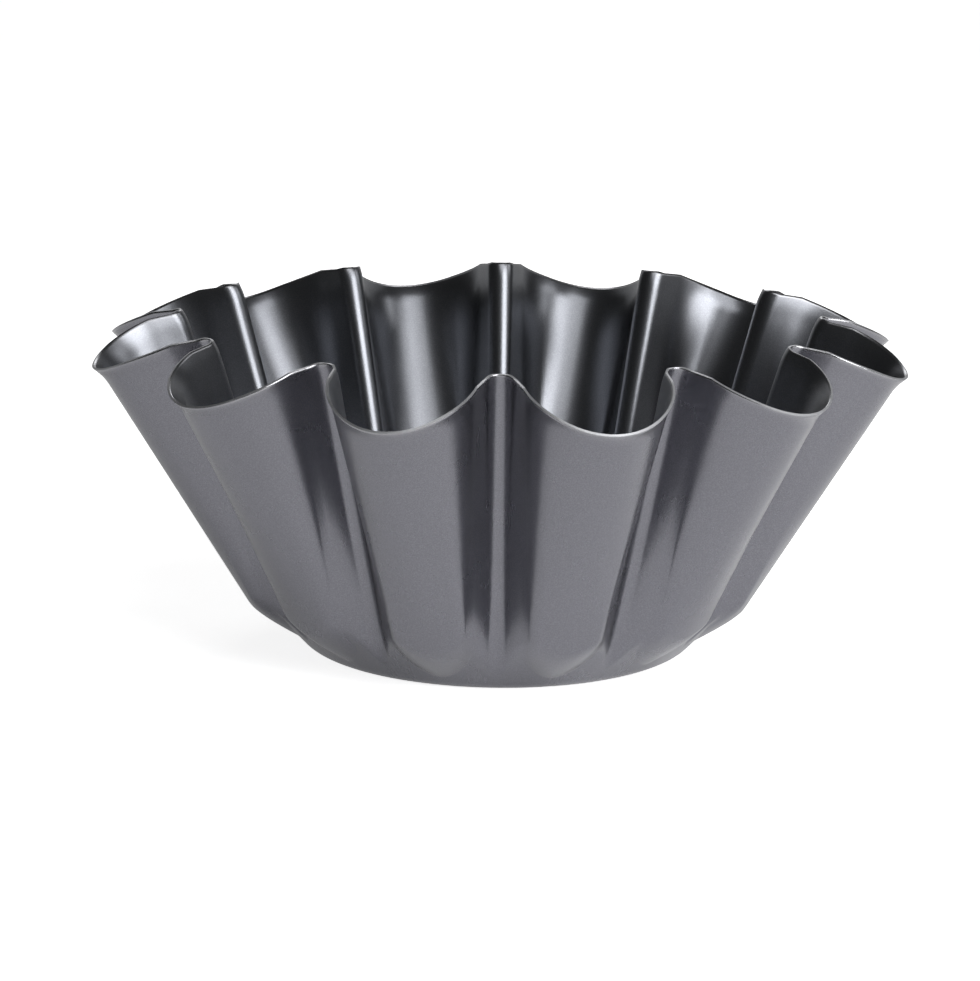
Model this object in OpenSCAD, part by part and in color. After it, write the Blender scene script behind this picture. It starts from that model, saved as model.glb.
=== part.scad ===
// Fluted brioche mould, drawn in one piece from thin sheet metal.
// Twelve flutes bulge out between narrow folds. A flute starts as a rounded
// end just above the plain round foot and opens out towards a wavy rim.
// Z is up, the mould stands on Z = 0, and a fold lies on the +X axis.

/* [Rim] */
// Number of flutes round the wall
flute_count = 12; // [10:1:13]
// Radius of the rim at the middle of a flute
rim_flute_r = 110; // [106:0.5:118]
// Radius of the rim at the bottom of a fold
rim_fold_r = 86.1; // [82:0.1:89]
// Height of the rim at the middle of a flute
rim_flute_h = 79.1; // [66:0.1:86]
// Height of the rim at a fold
rim_fold_h = 90; // [84:0.1:104]
// Radius of the round back of a flute at the rim, seen from above
flute_round_r = 19; // [15:0.1:19.2]
// Radius of the bend along a fold, seen from above
fold_round_r = 3.5; // [2.5:0.1:4.5]

/* [Flared edge] */
// Height of the flared band below the rim, along the metal
band_h = 2.9; // [1.5:0.1:6]
// How far the band flares out at the middle of a flute
flute_flare = 1.5; // [0.2:0.1:2.5]
// How far the band flares out at a fold
fold_flare = 0.8; // [0:0.1:1.6]

/* [Walls] */
// Radius at which the line down the middle of a flute would meet the table
flute_line_r = 60.3; // [59:0.1:63]
// Radius at which the line down a fold would meet the table
fold_line_r = 56.5; // [55.5:0.1:58.5]
// Height of the lower section, from which straight lines run up to the rim
low_h = 10; // [8:0.1:12]
// Half the width of the flat back of a flute in the lower section
low_flat_w = 7.2; // [5:0.1:8]
// Radius of the edges beside that flat back
low_edge_r = 2.2; // [1.5:0.1:3]

/* [Foot] */
// Radius of the flat base
flat_r = 48.7; // [46:0.1:49.5]
// Radius of the round corner between the base and the foot
corner_r = 6.9; // [5:0.1:8]
// Angle between the foot's cone and the table
foot_angle = 47.2; // [44:0.1:52]

/* [Flute ends] */
// Height at which the end of a flute leaves the foot
flute_end_h = 3.9; // [3.2:0.1:5]
// Distance from the middle of a flute at which its end is higher by end_w_rise
end_w = 9.4; // [8.4:0.1:11]
// How square the end is, 2 being a plain arch
end_power = 2; // [1.8:0.1:3]
// Reach of the soft bend where a fold runs into the foot
fold_bend = 5; // [3:0.1:7]
// Rise of the flute's underside, as a share of its step out from the foot
end_rise = 0.93; // [0.7:0.01:1.1]
// Length of the bend above the underside, as a share of the same step
end_bend = 0.42; // [0.3:0.01:0.7]

/* [Sheet] */
// Thickness of the metal
sheet = 0.6; // [0.4:0.1:0.9]

/* [Hidden] */

// Steps along the bend of a fold, its flank, the edge of a flute and half its back
fold_steps = 3;
flank_steps = 1;
edge_steps = 3;
back_steps = 3;
half_steps = fold_steps + flank_steps + edge_steps + back_steps;
// Steps up the foot, the rounded end, the straight wall and the flared band
foot_steps = 3;
end_steps = 4;
wall_steps = 2;
band_steps = 1;
// Turn of the round back that grows out of the flat back of the lower section
back_turn = 45;
// Rise of a flute's end at the distance end_w from its middle
end_w_rise = 6;
// No part of a flute's end lies higher than this
end_limit_h = 30;
// Share of the soft bend of a fold that lies on the foot
soft_on_foot = 0.8;
// Least share of the foot's round corner that stays plain
corner_kept = 0.6;
// Halvings in the search for the height at which the wall meets the foot
halvings = 24;
// Width of the ring of flat base that belongs to the wall's own skin
base_lap = 4;
// Share of the room beside a fold that the back of a flute may fill
round_limit = 0.98;

// Half the angle between two folds
half_pitch = 180 / flute_count;
flute_middle = [cos(half_pitch), sin(half_pitch)];
flute_across = [sin(half_pitch), -cos(half_pitch)];
// Radii of the walls at the height of the rim, before the flare
wall_flute_r = rim_flute_r - flute_flare;
wall_fold_r = rim_fold_r - fold_flare;
// Radii of the walls in the lower section
low_flute_r = flute_line_r + (wall_flute_r - flute_line_r) * low_h / rim_flute_h;
low_fold_r = fold_line_r + (wall_fold_r - fold_line_r) * low_h / rim_fold_h;

// The round back is limited so that it clears the bend of the fold beside it
fold_centre_x = wall_fold_r + fold_round_r;
fold_reach = fold_centre_x * cos(half_pitch);
round_room = (pow(wall_flute_r, 2) - 2 * wall_flute_r * fold_reach + pow(fold_centre_x, 2)
    - pow(fold_round_r, 2)) / (2 * (wall_flute_r - fold_reach + fold_round_r));
back_r = min(flute_round_r, round_limit * round_room);

function on_circle(centre, r, a) = centre + r * [cos(a), sin(a)];
function between(a, b, t) = a * (1 - t) + b * t;

// Outline of half a flute with the fold at angle 0: the fold's bend, a straight
// flank that touches both arcs, the flute's edge and its back. A flat back runs
// straight to the middle, and a round one goes on along the edge's own arc.
function outline(flute_r, fold_r, edge_r, flat_w) =
    let(fold_centre = [fold_r + fold_round_r, 0],
        edge_centre = (flute_r - edge_r) * flute_middle + flat_w * flute_across,
        gap = edge_centre - fold_centre,
        normal = atan2(gap[1], gap[0]) + acos((edge_r + fold_round_r) / norm(gap)),
        side = [cos(normal), sin(normal)],
        turn = flat_w > 0 ? 0 : back_turn,
        edge_end = on_circle(edge_centre, edge_r, half_pitch))
    [
        for (i = [0:fold_steps]) on_circle(fold_centre, fold_round_r, between(180, normal, i / fold_steps)),
        for (i = [1:1:flank_steps - 1])
            between(fold_centre + fold_round_r * side, edge_centre - edge_r * side, i / flank_steps),
        for (i = [0:edge_steps])
            on_circle(edge_centre, edge_r, between(normal - 180, half_pitch - turn, i / edge_steps)),
        for (i = [1:back_steps]) flat_w > 0
            ? between(edge_end, flute_r * flute_middle, i / back_steps)
            : on_circle(edge_centre, edge_r, half_pitch - turn * (1 - i / back_steps))
    ];
rim_plan = outline(wall_flute_r, wall_fold_r, back_r, 0);
low_plan = outline(low_flute_r, low_fold_r, low_edge_r, low_flat_w);
stations = [0:half_steps];

// Distance of each station from the middle of the flute, along the lower outline
function run_from_middle(i) = i == half_steps
    ? 0
    : run_from_middle(i + 1) + norm(low_plan[i + 1] - low_plan[i]);
aside = [for (i = stations) run_from_middle(i)];
// How much each station belongs to the fold, 1 at the fold and 0 at the middle of the flute
inward = [for (p = rim_plan) (wall_flute_r - norm(p)) / (wall_flute_r - wall_fold_r)];

// The metal keeps nearly the same length up the wall, which sets the height of the rim
flute_run = norm([wall_flute_r - low_flute_r, rim_flute_h - low_h]);
fold_run = norm([wall_fold_r - low_fold_r, rim_fold_h - low_h]);
wall_run = [for (w = inward) between(flute_run, fold_run, w)];
rim_z = [for (i = stations) low_h + sqrt(pow(wall_run[i], 2) - pow(norm(rim_plan[i] - low_plan[i]), 2))];
band_z = [for (i = stations) rim_z[i] - (rim_z[i] - low_h) * band_h / wall_run[i]];

// A point of the straight wall at station i and height z
function wall_xy(i, z) = between(low_plan[i], rim_plan[i], (z - low_h) / (rim_z[i] - low_h));
function wall_point(i, z) = let(p = wall_xy(i, z)) [p[0], p[1], z];

// Profile of the foot: a corner arc, then a straight cone
corner_run = corner_r * foot_angle * PI / 180;
corner_top = [flat_r + corner_r * sin(foot_angle), corner_r * (1 - cos(foot_angle))];
function cone_radius(z) = corner_top[0] + (z - corner_top[1]) / tan(foot_angle);
function foot_profile(s) = s < corner_run
    ? [flat_r + corner_r * sin(s / corner_r * 180 / PI), corner_r * (1 - cos(s / corner_r * 180 / PI))]
    : corner_top + (s - corner_run) * [cos(foot_angle), sin(foot_angle)];

// How far the wall stands out from the foot's cone at station i and height z
function beyond(i, z) = norm(wall_xy(i, z)) - cone_radius(z);
// Height at which the wall at station i comes down onto the cone
function meeting_z(i, low, high, left) = left == 0 ? high
    : beyond(i, (low + high) / 2) < 0
        ? meeting_z(i, low, (low + high) / 2, left - 1)
        : meeting_z(i, (low + high) / 2, high, left - 1);
// The flute leaves the foot at the height of its arched end, but never inside the cone
arch_z = [for (a = aside) min(flute_end_h + end_w_rise * pow(a / end_w, end_power), end_limit_h)];
end_z = [
    for (i = stations) beyond(i, arch_z[i]) < 0
        ? meeting_z(i, corner_top[1], arch_z[i], halvings)
        : arch_z[i]
];
// Reach of the soft bend at each station, full at the fold and none at the middle of the flute
soft = [for (a = aside) fold_bend * pow(a / aside[0], 2)];
end_step = [for (i = stations) max(beyond(i, end_z[i]), 0)];
bend_z = [for (i = stations) end_z[i] + end_rise * end_step[i]];
bend_top_z = [for (i = stations) bend_z[i] + end_bend * end_step[i] + soft[i]];
end_run = [
    for (i = stations)
        let(cone_run = (end_z[i] - corner_top[1]) / sin(foot_angle))
        max(corner_run + cone_run - soft_on_foot * soft[i], corner_kept * corner_run)
];
foot_turn = [for (i = stations) let(p = wall_xy(i, end_z[i])) atan2(p[1], p[0])];

// One point of each stretch of the outer skin, with t from 0 to 1 up the stretch
function foot_point(i, t) =
    let(p = foot_profile(end_run[i] * t))
    [p[0] * cos(foot_turn[i]), p[0] * sin(foot_turn[i]), p[1]];
function end_point(i, t) =
    pow(1 - t, 2) * foot_point(i, 1) + 2 * t * (1 - t) * wall_point(i, bend_z[i])
    + t * t * wall_point(i, bend_top_z[i]);
function rise_point(i, t) = wall_point(i, between(bend_top_z[i], band_z[i], t));
function band_point(i, t) =
    let(p = wall_point(i, between(band_z[i], rim_z[i], t)),
        out = rim_plan[i] / norm(rim_plan[i]),
        flare = between(flute_flare, fold_flare, inward[i]) * t)
    [p[0] + out[0] * flare, p[1] + out[1] * flare, p[2]];
function base_point(i) = (flat_r - base_lap) * [cos(foot_turn[i]), sin(foot_turn[i]), 0];

// Rows of half a flute, from the flat base up to the rim
half_rows = [
    [for (i = stations) base_point(i)],
    for (k = [0:foot_steps]) [for (i = stations) foot_point(i, k / foot_steps)],
    for (k = [1:end_steps]) [for (i = stations) end_point(i, k / end_steps)],
    for (k = [1:wall_steps]) [for (i = stations) rise_point(i, k / wall_steps)],
    for (k = [1:band_steps]) [for (i = stations) band_point(i, k / band_steps)]
];
row_count = len(half_rows);
ring_count = flute_count * 2 * half_steps;
// The two lowest rows lie on the flat base
flat_rows = 2;

// A whole ring from half a flute, mirrored across the fold and turned round the axis
function turned(p, a) = [p[0] * cos(a) - p[1] * sin(a), p[0] * sin(a) + p[1] * cos(a), p[2]];
function ring(half) = [
    for (k = [0:flute_count - 1])
        for (j = [1 - half_steps:half_steps])
            let(p = half[abs(j)])
            turned([p[0], j < 0 ? -p[1] : p[1], p[2]], 2 * half_pitch * k)
];
outer_rows = [for (half = half_rows) ring(half)];

// Outward direction of the skin at row k and place j
function outward(k, j) =
    let(around = outer_rows[k][(j + 1) % ring_count] - outer_rows[k][(j + ring_count - 1) % ring_count],
        up = outer_rows[min(k + 1, row_count - 1)][j] - outer_rows[max(k - 1, 0)][j],
        n = cross(around, up))
    k < flat_rows ? [0, 0, -1] : n / norm(n);
// The inner skin lies one thickness inside the outer one, and no higher than the rim
inner_rows = [
    for (k = [0:row_count - 1])
        [for (j = [0:ring_count - 1])
            let(p = outer_rows[k][j] - sheet * outward(k, j))
            [p[0], p[1], min(p[2], rim_fold_h)]]
];

function place(skin, k, j) = (skin * row_count + k) * ring_count + j % ring_count;
// A strip of quads between two rings, each quad as two triangles
function strip(skin_a, row_a, skin_b, row_b) = [
    for (j = [0:ring_count - 1]) each [
        [place(skin_a, row_a, j), place(skin_b, row_b, j), place(skin_b, row_b, j + 1)],
        [place(skin_a, row_a, j), place(skin_b, row_b, j + 1), place(skin_a, row_a, j + 1)]
    ]
];

// The fluted wall with its foot and the outer ring of the flat base
module fluted_wall() {
    last = row_count - 1;
    faces = [
        for (k = [0:last - 1]) each strip(0, k, 0, k + 1),
        each strip(0, last, 1, last),
        for (k = [0:last - 1]) each strip(1, k + 1, 1, k),
        each strip(1, 0, 0, 0)
    ];
    polyhedron(points = concat([for (r = outer_rows) each r], [for (r = inner_rows) each r]), faces = faces);
}

// The flat base, which laps into the wall's own ring of base
module flat_base() {
    cylinder(r = flat_r - base_lap / 2, h = sheet, $fn = 96);
}

module mould_body() {
    color([0.45, 0.46, 0.49]) union() {
        fluted_wall();
        flat_base();
    }
}

mould_body();
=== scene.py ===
"""Looks of a fluted brioche mould pressed from one sheet of coated steel.

The mould stands on Z = 0 with a fold between two flutes on the +X axis. Lengths in the dataclasses are in
millimetres, as on a maker's drawing, and meshes are in metres.
"""

import logging
import math
from dataclasses import dataclass, field
from enum import Enum

import bpy
import numpy as np
from mathutils import Matrix, Vector


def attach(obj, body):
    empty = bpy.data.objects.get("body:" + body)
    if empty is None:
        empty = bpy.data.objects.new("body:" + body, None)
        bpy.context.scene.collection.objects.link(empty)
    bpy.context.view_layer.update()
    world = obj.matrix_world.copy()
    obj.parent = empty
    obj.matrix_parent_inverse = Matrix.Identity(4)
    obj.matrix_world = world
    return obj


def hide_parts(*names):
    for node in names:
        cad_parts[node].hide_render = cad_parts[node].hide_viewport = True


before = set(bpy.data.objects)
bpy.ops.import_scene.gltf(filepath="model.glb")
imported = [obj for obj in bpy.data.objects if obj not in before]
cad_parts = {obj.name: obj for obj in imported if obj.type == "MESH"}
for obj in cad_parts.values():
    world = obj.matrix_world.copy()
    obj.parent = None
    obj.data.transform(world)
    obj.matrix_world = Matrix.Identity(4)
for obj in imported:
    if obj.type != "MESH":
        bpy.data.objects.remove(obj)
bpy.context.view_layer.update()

logging.basicConfig(level=logging.INFO, format="%(message)s")
LOG = logging.getLogger("mould")

MM = 0.001
BODY = "root"
NODE = "mould_body"
# Mesh attribute of rubbing and painted highlight on tight bends and the rim
WEAR_AND_HIGHLIGHT = "wear_and_highlight"
METAL_SPACE = "metal_space"
# Row of the skin's grid that lies in the middle of the foot's cone
FOOT_ROW = 15
# Rise in mm of a flute's end, above its tip, at the distance end_w from the flute's middle
END_W_RISE = 6.0
# Height in mm that the line where a flute leaves the foot never passes
END_LIMIT_H = 30.0
# Halvings in the search for the height at which the wall meets the foot
HALVINGS = 26
# Share of the soft bend that is taken from the foot, and share of the corner arc that it always leaves
SOFT_ON_FOOT = 0.8
CORNER_KEPT = 0.6
# How fast the metal's own coordinates count up the wall, against the way round it
SLOW_UP = 0.04
# Flakes across one soft cloud, grain against flakes, least share of the rubbing and painted highlight that
# shows, and bump depth in metres
FLAKES_PER_CLOUD = 90
GRAIN_SHARE = 0.7
LEAST_RUBBED_AND_HIGHLIT = 0.35
BUMP_DEPTH = 0.00004


class Skin(Enum):
    """Places of the three finishes in the mould's material slots."""

    OUTSIDE = 0
    INSIDE = 1
    CUT_EDGE = 2


@dataclass(frozen=True)
class CoatFinish:
    """A satin non-stick coat on sheet steel, with grain, draw lines, and paler bends from rubbing and a
    painted highlight.

    Attributes:
        name: Name of the material.
        colour: Linear colour of the coat.
        flake_colour: Linear colour of the paler flakes in it.
        worn_and_highlight_colour: Linear colour where the coat shows rubbing, which is also the painted
            highlight on tight convex bends and the rim.
        roughness: Mean roughness of the coat.
        worn_roughness: Roughness where the coat shows rubbing or the painted highlight.
        spread: How far the roughness varies from place to place.
        flakes_per_m: Flakes per metre.
        lines_per_m: Draw lines per metre round the wall.
        line_depth: How much the draw lines change the roughness.
        bump: Depth of the fine grain, as the strength of the bump node.
    """

    name: str
    colour: tuple[float, float, float]
    flake_colour: tuple[float, float, float]
    worn_and_highlight_colour: tuple[float, float, float]
    roughness: float
    worn_roughness: float
    spread: float
    flakes_per_m: float
    lines_per_m: float
    line_depth: float
    bump: float

    def material(self) -> bpy.types.Material:
        """Builds the coat's nodes.

        The roughness is the mean plus soft clouds plus draw lines, which follow the metal up the wall. Places
        of rubbing and painted highlight come from the mesh's attribute for both, broken up by noise.

        Returns:
            The material, metallic all over.
        """
        mat = bpy.data.materials.new(self.name)
        mat.use_nodes = True
        nodes, links = mat.node_tree.nodes, mat.node_tree.links
        shader = nodes["Principled BSDF"]
        shader.inputs["Metallic"].default_value = 1.0
        place = nodes.new("ShaderNodeTexCoord").outputs["Object"]
        metal = self._attribute(nodes, METAL_SPACE).outputs["Vector"]
        flakes = self._noise(mat, place, self.flakes_per_m, 2.0)
        clouds = self._noise(mat, place, self.flakes_per_m / FLAKES_PER_CLOUD, 3.0)
        lines = self._noise(mat, metal, self.lines_per_m, 2.0)
        tint = self._ramp(mat, flakes, (0.40, self.colour), (0.70, self.flake_colour))
        rubbed_and_highlit = self._rubbed_and_highlit(mat, clouds)
        colour = nodes.new("ShaderNodeMix")
        colour.data_type = "RGBA"
        links.new(rubbed_and_highlit, colour.inputs["Factor"])
        links.new(tint, colour.inputs[6])
        # Paler colour of rubbing, which also paints a highlight on tight convex bends and the rim
        colour.inputs[7].default_value = (*self.worn_and_highlight_colour, 1.0)
        links.new(colour.outputs[2], shader.inputs["Base Color"])
        cloudy = self._range(mat, clouds, self.roughness - self.spread, self.roughness + self.spread)
        lined = self._range(mat, lines, -self.line_depth, self.line_depth)
        rough = self._math(mat, "ADD", cloudy, lined)
        worn_and_highlit = nodes.new("ShaderNodeMix")
        links.new(rubbed_and_highlit, worn_and_highlit.inputs["Factor"])
        links.new(rough, worn_and_highlit.inputs[2])
        worn_and_highlit.inputs[3].default_value = self.worn_roughness
        links.new(worn_and_highlit.outputs[0], shader.inputs["Roughness"])
        grain = self._noise(mat, place, self.flakes_per_m * GRAIN_SHARE, 2.0)
        bump = nodes.new("ShaderNodeBump")
        bump.inputs["Strength"].default_value = self.bump
        bump.inputs["Distance"].default_value = BUMP_DEPTH
        links.new(grain, bump.inputs["Height"])
        links.new(bump.outputs["Normal"], shader.inputs["Normal"])
        return mat

    def _rubbed_and_highlit(self, mat: bpy.types.Material, clouds: bpy.types.NodeSocket) -> bpy.types.NodeSocket:
        """How much rubbing and painted highlight each place gets: the attribute times a share that varies with
        the clouds.
        """
        wear_and_highlight = self._attribute(mat.node_tree.nodes, WEAR_AND_HIGHLIGHT).outputs["Fac"]
        share = self._range(mat, clouds, LEAST_RUBBED_AND_HIGHLIT, 1.0)
        return self._math(mat, "MULTIPLY", wear_and_highlight, share)

    @staticmethod
    def _attribute(nodes: bpy.types.Nodes, name: str) -> bpy.types.Node:
        """Adds a reader of one of the mesh's attributes."""
        reader = nodes.new("ShaderNodeAttribute")
        reader.attribute_name = name
        return reader

    @staticmethod
    def _noise(mat: bpy.types.Material, place: bpy.types.NodeSocket, scale: float,
               detail: float) -> bpy.types.NodeSocket:
        """Adds a noise texture of that many features per metre."""
        texture = mat.node_tree.nodes.new("ShaderNodeTexNoise")
        texture.inputs["Scale"].default_value = scale
        texture.inputs["Detail"].default_value = detail
        mat.node_tree.links.new(place, texture.inputs["Vector"])
        return texture.outputs["Fac"]

    @staticmethod
    def _ramp(mat: bpy.types.Material, fac: bpy.types.NodeSocket,
              *stops: tuple[float, tuple[float, float, float]]) -> bpy.types.NodeSocket:
        """Adds a colour ramp with those two stops."""
        ramp = mat.node_tree.nodes.new("ShaderNodeValToRGB")
        for stop, (place, colour) in zip(ramp.color_ramp.elements, stops):
            stop.position = place
            stop.color = (*colour, 1.0)
        mat.node_tree.links.new(fac, ramp.inputs["Fac"])
        return ramp.outputs["Color"]

    @staticmethod
    def _range(mat: bpy.types.Material, value: bpy.types.NodeSocket, low: float,
               high: float) -> bpy.types.NodeSocket:
        """Maps the middle of a noise's range, 0.3 to 0.7, to another range."""
        node = mat.node_tree.nodes.new("ShaderNodeMapRange")
        node.inputs["From Min"].default_value = 0.3
        node.inputs["From Max"].default_value = 0.7
        node.inputs["To Min"].default_value = low
        node.inputs["To Max"].default_value = high
        mat.node_tree.links.new(value, node.inputs["Value"])
        return node.outputs["Result"]

    @staticmethod
    def _math(mat: bpy.types.Material, operation: str, first: bpy.types.NodeSocket,
              second: bpy.types.NodeSocket) -> bpy.types.NodeSocket:
        """Joins two values with a math node."""
        node = mat.node_tree.nodes.new("ShaderNodeMath")
        node.operation = operation
        mat.node_tree.links.new(first, node.inputs[0])
        mat.node_tree.links.new(second, node.inputs[1])
        return node.outputs[0]


@dataclass(frozen=True)
class BareEdgeFinish:
    """The bright cut edge of the sheet.

    Attributes:
        name: Name of the material.
        colour: Linear colour of the steel.
        roughness: Roughness of the sheared edge.
        lines_per_m: Shear lines per metre along the edge.
    """

    name: str
    colour: tuple[float, float, float]
    roughness: float
    lines_per_m: float

    def material(self) -> bpy.types.Material:
        """Builds bare steel whose brightness varies along the edge."""
        mat = bpy.data.materials.new(self.name)
        mat.use_nodes = True
        nodes, links = mat.node_tree.nodes, mat.node_tree.links
        shader = nodes["Principled BSDF"]
        shader.inputs["Metallic"].default_value = 1.0
        shader.inputs["Roughness"].default_value = self.roughness
        place = nodes.new("ShaderNodeTexCoord")
        lines = nodes.new("ShaderNodeTexNoise")
        lines.inputs["Scale"].default_value = self.lines_per_m
        links.new(place.outputs["Object"], lines.inputs["Vector"])
        ramp = nodes.new("ShaderNodeValToRGB")
        dark, bright = ramp.color_ramp.elements
        dark.color = (*[0.7 * c for c in self.colour], 1.0)
        bright.color = (*self.colour, 1.0)
        links.new(lines.outputs["Fac"], ramp.inputs["Fac"])
        links.new(ramp.outputs["Color"], shader.inputs["Base Color"])
        return mat


@dataclass
class FlutedMould:
    """The pressed mould: flat base, round foot, flutes with rounded ends, folds and a flared edge.

    Attributes:
        flutes: Number of flutes.
        rim_flute_r: Radius of the rim at the middle of a flute.
        rim_fold_r: Radius of the rim at a fold.
        rim_flute_h: Height of the rim at the middle of a flute.
        rim_fold_h: Height of the rim at a fold.
        back_r: Radius of the round back of a flute at the rim, seen from above.
        fold_round_r: Radius of the bend along a fold, seen from above.
        band_h: Height of the flared band, along the metal.
        flute_flare: How far the band flares at the middle of a flute.
        fold_flare: How far the band flares at a fold.
        flute_line_r: Radius at which the line down the middle of a flute would meet the table.
        fold_line_r: Radius at which the line down a fold would meet the table.
        low_h: Height of the lower section, from which the straight walls are drawn to the rim.
        low_flat_w: Half the width of the flat part of a flute's back in that section.
        low_edge_r: Radius of the edges beside that flat part.
        back_turn: Angle in degrees of the rim's back arc that the flat part runs up to.
        flat_r: Radius of the flat base.
        corner_r: Radius of the corner round the base.
        foot_angle: Angle in degrees between the foot's cone and the table.
        flute_end_h: Height at which the tip of a flute leaves the foot.
        end_w: Distance from a flute's middle at which its end has risen by END_W_RISE.
        end_power: How square the round end is.
        fold_bend: Reach of the soft bend where a fold runs into the foot.
        end_rise: Rise of a flute's underside, as a share of its step out from the foot.
        end_bend: Length of the bend above the underside, as a share of that step.
        crease: Reach of the soft crease on each side of the line where a flute leaves the foot.
        sheet: Thickness of the metal.
        wear_and_highlight_from: Curvature in 1/mm from which a bend shows rubbing and a painted highlight.
        wear_and_highlight_full: Curvature in 1/mm from which both are full.
        rim_wear_and_highlight: Reach below the rim of the rubbing and painted highlight.
    """

    flutes: int = 12
    rim_flute_r: float = 110.0
    rim_fold_r: float = 86.1
    rim_flute_h: float = 79.1
    rim_fold_h: float = 90.0
    back_r: float = 19.0
    fold_round_r: float = 3.5
    band_h: float = 2.9
    flute_flare: float = 1.5
    fold_flare: float = 0.8
    flute_line_r: float = 60.3
    fold_line_r: float = 56.5
    low_h: float = 10.0
    low_flat_w: float = 7.2
    low_edge_r: float = 2.2
    back_turn: float = 45.0
    flat_r: float = 48.7
    corner_r: float = 6.9
    foot_angle: float = 47.2
    flute_end_h: float = 3.9
    end_w: float = 9.4
    end_power: float = 2.0
    fold_bend: float = 5.0
    end_rise: float = 0.93
    end_bend: float = 0.42
    crease: float = 0.5
    sheet: float = 0.6
    wear_and_highlight_from: float = 0.1
    wear_and_highlight_full: float = 0.4
    rim_wear_and_highlight: float = 0.7
    fold_steps: int = 9
    flank_steps: int = 3
    edge_steps: int = 12
    back_steps: int = 9
    outside: CoatFinish = field(default_factory=lambda: CoatFinish(
        "satin_grey_coat", (0.182, 0.182, 0.204), (0.234, 0.234, 0.257), (0.38, 0.38, 0.392), 0.28, 0.23,
        0.03, 3600.0, 900.0, 0.006, 0.35))
    inside: CoatFinish = field(default_factory=lambda: CoatFinish(
        "dark_inner_coat", (0.158, 0.164, 0.180), (0.205, 0.211, 0.226), (0.3, 0.3, 0.31), 0.31, 0.25, 0.03,
        3600.0, 900.0, 0.008, 0.25))
    edge: BareEdgeFinish = field(default_factory=lambda: BareEdgeFinish(
        "bare_cut_edge", (0.56, 0.57, 0.59), 0.5, 400.0))

    def outline(self, flute_r: float, fold_r: float, edge_r: float, flat_w: float) -> np.ndarray:
        """Outline of half a flute, seen from above, from the fold at angle 0 to the middle of the flute.

        An arc round the fold, a straight flank that touches both arcs, the arc at the flute's edge and the
        flute's back. The back is flat when it has a width, and goes on round the edge's arc when it has none.
        The flank's normal points from one centre to the other, turned by the angle whose cosine is the sum of
        the radii over the distance of the centres.

        Args:
            flute_r: Radius at the middle of the flute.
            fold_r: Radius at the fold.
            edge_r: Radius of the arc at the edge of the flute.
            flat_w: Half the width of the flat back.

        Returns:
            Points as an array of shape (stations, 2).
        """
        half = math.pi / self.flutes
        middle = np.array([math.cos(half), math.sin(half)])
        across = np.array([middle[1], -middle[0]])
        fold_centre = np.array([fold_r + self.fold_round_r, 0.0])
        edge_centre = (flute_r - edge_r) * middle + flat_w * across
        gap = edge_centre - fold_centre
        normal = math.atan2(gap[1], gap[0]) + math.acos((edge_r + self.fold_round_r) / np.hypot(*gap))
        back_turn = 0.0 if flat_w else math.radians(self.back_turn)
        fold = np.linspace(math.pi, normal, self.fold_steps + 1)
        edge = np.linspace(normal - math.pi, half - back_turn, self.edge_steps + 1)
        fold_arc = fold_centre + self.fold_round_r * np.c_[np.cos(fold), np.sin(fold)]
        edge_arc = edge_centre + edge_r * np.c_[np.cos(edge), np.sin(edge)]
        t = np.linspace(0, 1, self.flank_steps + 1)[1:-1, None]
        flank = fold_arc[-1] * (1 - t) + edge_arc[0] * t
        t = np.linspace(0, 1, self.back_steps + 1)[1:, None]
        if flat_w:
            back = edge_arc[-1] * (1 - t) + flute_r * middle * t
        else:
            turn = half - back_turn * (1 - t)
            back = edge_centre + edge_r * np.c_[np.cos(turn), np.sin(turn)]
        return np.r_[fold_arc, flank, edge_arc, back]

    def half_flute(self) -> np.ndarray:
        """Outer skin of half a flute as a grid of rows from the base to the rim.

        The straight wall joins the low section with the rim, station by station. Its height keeps the length
        of the metal: flat distance squared plus height squared is the run squared. Below it a Bezier bend with
        its control point on the wall turns under, to the cone of the foot, which ends in a corner arc and the
        flat base. Above it the band leans out by the flare.

        Returns:
            Points in millimetres, shape (rows, stations, 3).
        """
        flute_r, fold_r = self.rim_flute_r - self.flute_flare, self.rim_fold_r - self.fold_flare
        low_flute_r = self.flute_line_r + (flute_r - self.flute_line_r) * self.low_h / self.rim_flute_h
        low_fold_r = self.fold_line_r + (fold_r - self.fold_line_r) * self.low_h / self.rim_fold_h
        plan = self.outline(flute_r, fold_r, self.back_r, 0.0)
        low_plan = self.outline(low_flute_r, low_fold_r, self.low_edge_r, self.low_flat_w)
        aside = np.r_[0.0, np.cumsum(np.hypot(*np.diff(low_plan[::-1], axis=0).T))][::-1]
        radius = np.hypot(*plan.T)
        inward = (flute_r - radius) / (flute_r - fold_r)
        flute_run = math.hypot(flute_r - low_flute_r, self.rim_flute_h - self.low_h)
        fold_run = math.hypot(fold_r - low_fold_r, self.rim_fold_h - self.low_h)
        wall_run = flute_run * (1 - inward) + fold_run * inward
        rim_z = self.low_h + np.sqrt(wall_run**2 - ((plan - low_plan) ** 2).sum(1))

        def wall(z: np.ndarray) -> np.ndarray:
            """Points of the straight wall at the heights z."""
            up = ((z - self.low_h) / (rim_z - self.low_h))[:, None]
            return np.c_[low_plan * (1 - up) + plan * up, z]

        slope = math.radians(self.foot_angle)
        top_r = self.flat_r + self.corner_r * math.sin(slope)
        top_z = self.corner_r * (1 - math.cos(slope))

        def beyond(z: np.ndarray) -> np.ndarray:
            """How far the wall stands out from the foot's cone at the heights z."""
            return np.hypot(*wall(z)[:, :2].T) - (top_r + (z - top_z) / math.tan(slope))

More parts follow.
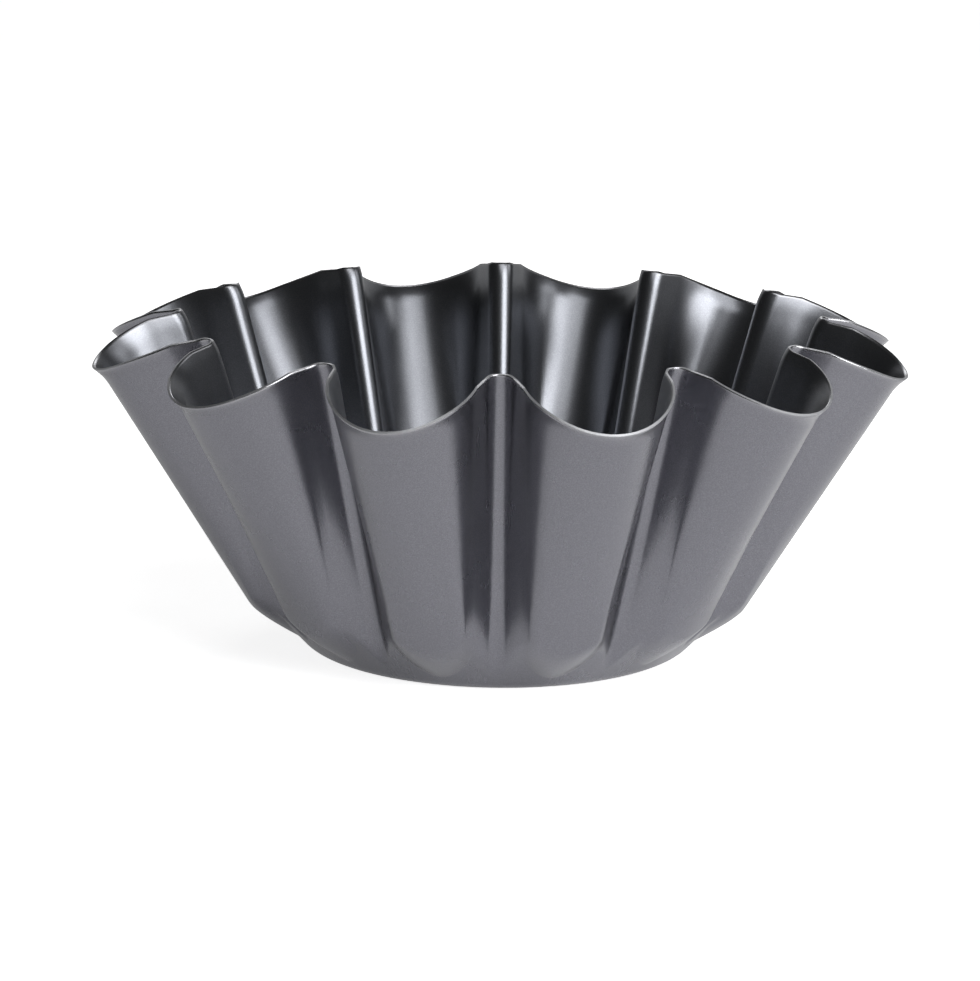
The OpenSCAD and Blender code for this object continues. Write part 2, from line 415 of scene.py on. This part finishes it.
        end_z = self.flute_end_h + END_W_RISE * (aside / self.end_w) ** self.end_power
        lower, upper = np.full_like(end_z, top_z), np.minimum(end_z, END_LIMIT_H)
        meets = beyond(upper) < 0
        for _ in range(HALVINGS):
            middle = (lower + upper) / 2
            inside = beyond(middle) < 0
            lower, upper = np.where(inside, lower, middle), np.where(inside, middle, upper)
        end_z = np.where(meets, upper, np.minimum(end_z, END_LIMIT_H))
        step = np.maximum(beyond(end_z), 0)
        away = aside / aside[0]
        soft = self.fold_bend * away**2
        bend_z = end_z + self.end_rise * step
        bend_top = bend_z + self.end_bend * step + soft
        corner_run = self.corner_r * slope
        foot_run = corner_run + (end_z - top_z) / math.sin(slope) - SOFT_ON_FOOT * soft
        end_run = np.maximum(foot_run, CORNER_KEPT * corner_run)
        end_at = wall(end_z)
        foot_turn = np.arctan2(end_at[:, 1], end_at[:, 0])

        def foot(along: np.ndarray) -> np.ndarray:
            """Points of the foot at the distances along its profile."""
            arc = np.minimum(along, corner_run) / self.corner_r
            rest = np.maximum(along - corner_run, 0)
            r = self.flat_r + self.corner_r * np.sin(arc) + rest * math.cos(slope)
            z = self.corner_r * (1 - np.cos(arc)) + rest * math.sin(slope)
            return np.c_[r * np.cos(foot_turn), r * np.sin(foot_turn), z]

        def bend(t: float) -> np.ndarray:
            """Points of the rounded end at the share t up the bend."""
            return (1 - t) ** 2 * foot(end_run) + 2 * t * (1 - t) * wall(bend_z) + t * t * wall(bend_top)

        band_z = rim_z - (rim_z - self.low_h) * self.band_h / wall_run
        flare = self.flute_flare * (1 - inward) + self.fold_flare * inward
        out = np.c_[plan / radius[:, None] * flare[:, None], np.zeros(len(plan))]

        def band(t: float) -> np.ndarray:
            """Points of the flared band at the share t up the band."""
            return wall(band_z * (1 - t) + rim_z * t) + out * t

        underside = np.linalg.norm(wall(bend_z) - foot(end_run), axis=1)
        crease_t = self.crease / np.maximum(2 * underside, 4 * self.crease)
        flat_edge = foot(np.zeros_like(away))
        rows = [flat_edge * np.array([s, s, 1.0]) for s in np.linspace(0.08, 1.0, 7)[:-1]]
        rows += [foot(corner_run * t * np.ones_like(away)) for t in np.linspace(0, 1, 8)]
        cone_run = end_run - self.crease - corner_run
        rows += [foot(corner_run + cone_run * t) for t in np.linspace(0, 1, 5)[1:]]
        low, tip = rows[-1], foot(end_run)
        ct = crease_t[:, None]
        high = (1 - ct) ** 2 * tip + 2 * ct * (1 - ct) * wall(bend_z) + ct**2 * wall(bend_top)
        rows += [(1 - t) ** 2 * low + 2 * t * (1 - t) * tip + t * t * high for t in np.linspace(0, 1, 5)[1:]]
        for t in np.linspace(0, 1, 13)[1:]:
            s = ct + (1 - ct) * t
            rows.append((1 - s) ** 2 * tip + 2 * s * (1 - s) * wall(bend_z) + s**2 * wall(bend_top))
        rows += [wall(bend_top * (1 - t) + band_z * t) for t in (0.15, 0.35, 0.6, 0.85, 0.97)]
        low, fold_line, high = rows[-1], wall(band_z), band(0.5)
        for t in (0.3, 0.5, 0.7, 1.0):
            rows.append((1 - t) ** 2 * low + 2 * t * (1 - t) * fold_line + t * t * high)
        rows += [band(t) for t in (0.75, 1.0)]
        return np.array(rows)

    def whole(self, half: np.ndarray) -> np.ndarray:
        """Mirrors half a flute across its fold and repeats it round the axis.

        Args:
            half: Points of half a flute, shape (rows, stations, 3).

        Returns:
            Points of the closed rings, shape (rows, around, 3).
        """
        other = half[:, :0:-1] * np.array([1.0, -1.0, 1.0])
        flute = np.concatenate([other[:, 1:], half], axis=1)
        turns = 2 * np.pi * np.arange(self.flutes) / self.flutes
        cos, sin = np.cos(turns)[None, :, None], np.sin(turns)[None, :, None]
        x, y, z = (flute[:, None, :, i] for i in range(3))
        ring = np.stack([x * cos - y * sin, x * sin + y * cos, np.broadcast_to(z, (x * cos).shape)], axis=-1)
        return ring.reshape(len(half), -1, 3)

    def wear_and_highlight(self, skin: np.ndarray, outward: np.ndarray) -> np.ndarray:
        """How much rubbing and painted highlight each place of a skin gets.

        A place gets both where its profile bends away from the hand: the turn of the normal over a short way
        up the skin, divided by that way, is its curvature, and the mask grows from 0 to 1 between two
        curvatures.
        The rim gets both over its last millimetre.

        Args:
            skin: Rings of points in millimetres, shape (rows, around, 3).
            outward: Unit normals that point away from the metal, same shape.

        Returns:
            Rubbing and painted highlight from 0 to 1, shape (rows, around).
        """
        way, turn = np.gradient(skin, axis=0), np.gradient(outward, axis=0)
        curvature = (way * turn).sum(2) / np.maximum((way * way).sum(2), 1e-4)
        bend = np.clip((curvature - self.wear_and_highlight_from) / (self.wear_and_highlight_full - self.wear_and_highlight_from), 0, 1)
        steps = np.linalg.norm(np.diff(skin, axis=0), axis=2)
        below_rim = np.concatenate([np.cumsum(steps[::-1], axis=0)[::-1], np.zeros((1, skin.shape[1]))])
        # Rubbing and painted highlight: a paler mask on tight outward bends and along the rim
        return np.maximum(bend * bend * (3 - 2 * bend), np.exp(-below_rim / self.rim_wear_and_highlight))

    def metal_space(self, skin: np.ndarray) -> np.ndarray:
        """Coordinates that follow the metal, so that lines drawn in them run up the wall.

        Args:
            skin: Rings of points in millimetres, shape (rows, around, 3).

        Returns:
            The place of each column on the foot's ring and a slow count up the wall, same shape.
        """
        column = skin[FOOT_ROW] * np.array([1.0, 1.0, 0.0])
        steps = np.linalg.norm(np.diff(skin, axis=0), axis=2)
        up = np.concatenate([np.zeros((1, skin.shape[1])), np.cumsum(steps, axis=0)])
        return column[None] + up[:, :, None] * np.array([0.0, 0.0, SLOW_UP])

    @staticmethod
    def outward(skin: np.ndarray) -> np.ndarray:
        """Outward unit normals of a grid of rings: the cross product of its two directions."""
        around = np.roll(skin, -1, axis=1) - np.roll(skin, 1, axis=1)
        up = np.gradient(skin, axis=0)
        normal = np.cross(around, up)
        return normal / np.linalg.norm(normal, axis=2, keepdims=True)

    def shell(self) -> bpy.types.Object:
        """Builds the mould as one closed mesh: outer skin, cut edge and inner skin.

        The inner skin is the outer one moved in by the sheet along its normals. Each skin closes at the
        middle of the base with a fan.

        Returns:
            The mould's object, with its place in its mesh.
        """
        outer = self.whole(self.half_flute())
        normal = self.outward(outer)
        flat = outer[:, :, 2] < 1e-6
        normal[flat] = (0.0, 0.0, -1.0)
        inner = outer - self.sheet * normal
        inner = np.minimum(inner, [np.inf, np.inf, self.rim_fold_h])
        grid = np.concatenate([outer, inner[::-1]])
        rows, around = grid.shape[:2]
        index = np.arange(rows * around).reshape(rows, around)
        beside = np.roll(index, -1, axis=1)
        quads = np.stack([index[:-1], beside[:-1], beside[1:], index[1:]], axis=-1).reshape(-1, 4)
        poles = np.array([[0.0, 0.0, 0.0], [0.0, 0.0, self.sheet]])
        under, over = rows * around, rows * around + 1
        fans = np.concatenate([
            np.stack([beside[0], index[0], np.full(around, under)], axis=-1),
            np.stack([index[-1], beside[-1], np.full(around, over)], axis=-1),
        ])
        points = np.concatenate([grid.reshape(-1, 3), poles]) * MM
        mesh = bpy.data.meshes.new(NODE + "_shell")
        mesh.from_pydata(points.tolist(), [], quads.tolist() + fans.tolist())
        row_of_quad = np.repeat(np.arange(rows - 1), around)
        last = len(outer) - 1
        finish = np.where(row_of_quad < last, Skin.OUTSIDE.value, Skin.INSIDE.value)
        finish[row_of_quad == last] = Skin.CUT_EDGE.value
        fan_finish = np.repeat([Skin.OUTSIDE.value, Skin.INSIDE.value], around)
        mesh.polygons.foreach_set("material_index", np.concatenate([finish, fan_finish]).astype(np.int32))
        mesh.polygons.foreach_set("use_smooth", np.concatenate([finish, fan_finish]) != Skin.CUT_EDGE.value)
        # Rubbing and painted highlight of both skins, read by the coats as a paler colour
        worn_and_highlit = np.concatenate([self.wear_and_highlight(outer, normal), self.wear_and_highlight(inner, -normal)[::-1]]).reshape(-1)
        metal = np.concatenate([self.metal_space(outer), self.metal_space(inner)[::-1]]).reshape(-1, 3)
        worn_and_highlit = np.r_[worn_and_highlit, 0, 0].astype(np.float32)
        mesh.attributes.new(WEAR_AND_HIGHLIGHT, "FLOAT", "POINT").data.foreach_set("value", worn_and_highlit)
        metal = np.concatenate([metal, poles]) * MM
        mesh.attributes.new(METAL_SPACE, "FLOAT_VECTOR", "POINT").data.foreach_set(
            "vector", metal.astype(np.float32).reshape(-1))
        mesh.validate()
        mesh.update()
        for coat in (self.outside, self.inside, self.edge):
            mesh.materials.append(coat.material())
        shell = bpy.data.objects.new(NODE + "_shell", mesh)
        bpy.context.scene.collection.objects.link(shell)
        return shell

    def build(self) -> bpy.types.Object:
        """Builds the mould, lets it ride on its body and stand for its node."""
        shell = self.shell()
        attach(shell, BODY)
        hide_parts(NODE)
        LOG.info("%s: %d faces", shell.name, len(shell.data.polygons))
        return shell


@dataclass(frozen=True)
class SoftLamp:
    """A rectangular soft lamp that faces the mould.

    Attributes:
        name: Name of the lamp.
        azimuth: Degrees to the right of the front.
        elevation: Degrees above the table.
        distance: Distance from the mould, in metres.
        size: Width and height, in metres.
        watts: Power.
        aim_z: Height in metres of the place that it faces.
    """

    name: str
    azimuth: float
    elevation: float
    distance: float
    size: tuple[float, float]
    watts: float
    aim_z: float = 0.045

    def build(self) -> None:
        """Places the lamp and turns it to the mould."""
        data = bpy.data.lights.new(self.name, "AREA")
        data.shape = "RECTANGLE"
        data.size, data.size_y = self.size
        data.energy = self.watts
        lamp = bpy.data.objects.new(self.name, data)
        az, el = math.radians(self.azimuth), math.radians(self.elevation)
        out = Vector((math.cos(el) * math.sin(az), -math.cos(el) * math.cos(az), math.sin(el)))
        lamp.location = Vector((0.0, 0.0, self.aim_z)) + self.distance * out
        lamp.rotation_euler = (-out).to_track_quat("-Z", "Y").to_euler()
        bpy.context.scene.collection.objects.link(lamp)


@dataclass
class Studio:
    """Pale sweep, soft lamps and world.

    Attributes:
        sweep_half_w: Half the width of the floor, in metres.
        sweep_front: How far the floor runs towards the camera.
        sweep_back: How far it runs behind the mould before it curves up.
        sweep_r: Radius of the curve into the backdrop.
        sweep_h: Height of the backdrop.
        seen_glow: Glow of the paper that the camera sees, added to the lamps' light on it.
        mirrored_glow: Glow of the paper that reflections see.
        room_glow: Light of the dim room round the lamps.
        lamps: The soft lamps.
    """

    sweep_half_w: float = 3.0
    sweep_front: float = 3.0
    sweep_back: float = 1.6
    sweep_r: float = 0.8
    sweep_h: float = 3.0
    seen_glow: float = 0.85
    mirrored_glow: float = 0.3
    room_glow: float = 0.05
    lamps: tuple[SoftLamp, ...] = (
        SoftLamp("key", 44.0, 28.0, 1.2, (0.8, 0.75), 12.5),
        SoftLamp("side", 92.0, 30.0, 1.3, (0.4, 0.5), 1.3),
        SoftLamp("back", 178.0, 36.0, 1.3, (0.5, 0.4), 2.0),
        SoftLamp("top", 25.0, 60.0, 1.3, (0.9, 0.6), 4.5),
    )

    def build(self) -> None:
        """Makes the floor, the lamps and the world."""
        self._sweep()
        self._world()
        for lamp in self.lamps:
            lamp.build()

    def _sweep(self) -> None:
        """Floor and backdrop: a line, a quarter circle and a line, carried sideways."""
        arc = np.linspace(-np.pi / 2, 0, 17)
        back = self.sweep_back + self.sweep_r
        y = np.r_[-self.sweep_front, self.sweep_back + self.sweep_r * np.cos(arc), back]
        z = np.r_[0.0, self.sweep_r * (1 + np.sin(arc)), self.sweep_h]
        left = np.c_[np.full_like(y, -self.sweep_half_w), y, z]
        right = left * np.array([-1.0, 1.0, 1.0])
        n = len(y)
        low = np.arange(n - 1)
        faces = np.stack([low, low + n, low + n + 1, low + 1], axis=-1)
        mesh = bpy.data.meshes.new("sweep")
        mesh.from_pydata(np.r_[left, right].tolist(), [], faces.tolist())
        mesh.polygons.foreach_set("use_smooth", np.ones(n - 1, bool))
        sweep = bpy.data.objects.new("sweep", mesh)
        bpy.context.scene.collection.objects.link(sweep)
        mesh.materials.append(self._paper())

    def _paper(self) -> bpy.types.Material:
        """White paper with the mould's shadow on it, and a glow that makes it white for the camera."""
        mat = bpy.data.materials.new("white_paper")
        mat.use_nodes = True
        nodes, links = mat.node_tree.nodes, mat.node_tree.links
        shader = nodes["Principled BSDF"]
        shader.inputs["Base Color"].default_value = (0.9, 0.9, 0.9, 1.0)
        shader.inputs["Roughness"].default_value = 0.9
        shader.inputs["Emission Color"].default_value = (1.0, 1.0, 1.0, 1.0)
        path = nodes.new("ShaderNodeLightPath")
        glows = []
        for ray, strength in (("Is Camera Ray", self.seen_glow), ("Is Glossy Ray", self.mirrored_glow)):
            glow = nodes.new("ShaderNodeMath")
            glow.operation = "MULTIPLY"
            glow.inputs[1].default_value = strength
            links.new(path.outputs[ray], glow.inputs[0])
            glows.append(glow)
        both = nodes.new("ShaderNodeMath")
        both.operation = "ADD"
        for glow, socket in zip(glows, both.inputs):
            links.new(glow.outputs[0], socket)
        links.new(both.outputs[0], shader.inputs["Emission Strength"])
        return mat

    def _world(self) -> None:
        """A dim room that the camera sees as white."""
        world = bpy.data.worlds.new("studio")
        bpy.context.scene.world = world
        world.use_nodes = True
        nodes, links = world.node_tree.nodes, world.node_tree.links
        white = nodes["Background"]
        white.inputs["Color"].default_value = (1.0, 1.0, 1.0, 1.0)
        path = nodes.new("ShaderNodeLightPath")
        strength = nodes.new("ShaderNodeMath")
        strength.operation = "MAXIMUM"
        strength.inputs[1].default_value = self.room_glow
        links.new(path.outputs["Is Camera Ray"], strength.inputs[0])
        links.new(strength.outputs[0], white.inputs["Strength"])


@dataclass(frozen=True)
class PhotoCamera:
    """The photograph's camera, fitted to the mould's rim and outlines.

    Attributes:
        distance: Distance in metres from the point that the camera stands above.
        azimuth: Degrees to the right of the front.
        elevation: Degrees above the horizon.
        aim_z: Height in metres of the point that it would face before pan and tilt.
        pan: Degrees turned to the right.
        tilt: Degrees turned up.
        roll: Degrees rolled.
        focal_px: Focal length in pixels of the photograph.
        long_side_px: Pixels along the photograph's longer side.
        sensor_mm: Width of the sensor that the lens is given for.
    """

    distance: float = 0.9383
    azimuth: float = -0.098
    elevation: float = 10.660
    aim_z: float = 0.0782
    pan: float = -0.138
    tilt: float = -2.200
    roll: float = 0.722
    focal_px: float = 3487.5
    long_side_px: float = 981.0
    sensor_mm: float = 36.0

    def build(self) -> None:
        """Places the camera and makes it the scene's."""
        el, az = math.radians(self.elevation), math.radians(self.azimuth)
        aim = Vector((0.0, 0.0, self.aim_z))
        out = Vector((math.cos(el) * math.sin(az), -math.cos(el) * math.cos(az), math.sin(el)))
        place = aim + self.distance * out
        ahead = -out
        right = ahead.cross(Vector((0.0, 0.0, 1.0))).normalized()
        up = right.cross(ahead)
        ahead, right = self._turned(ahead, right, self.pan)
        ahead, up = self._turned(ahead, up, self.tilt)
        right, up = self._turned(right, up, self.roll)
        data = bpy.data.cameras.new("photo_camera")
        data.sensor_width = self.sensor_mm
        data.lens = self.focal_px * self.sensor_mm / self.long_side_px
        data.clip_start = 0.01
        camera = bpy.data.objects.new("photo_camera", data)
        axes = Matrix((right, up, -ahead)).transposed()
        camera.matrix_world = Matrix.Translation(place) @ axes.to_4x4()
        bpy.context.scene.collection.objects.link(camera)
        bpy.context.scene.camera = camera

    @staticmethod
    def _turned(first: Vector, second: Vector, degrees: float) -> tuple[Vector, Vector]:
        """Turns two square directions in their own plane, the first towards the second."""
        a = math.radians(degrees)
        return first * math.cos(a) + second * math.sin(a), second * math.cos(a) - first * math.sin(a)


def main() -> None:
    """Builds the camera, the mould and the studio."""
    bpy.context.scene.view_settings.view_transform = "Standard"
    PhotoCamera().build()
    FlutedMould().build()
    Studio().build()


if __name__ == "__main__":
    main()
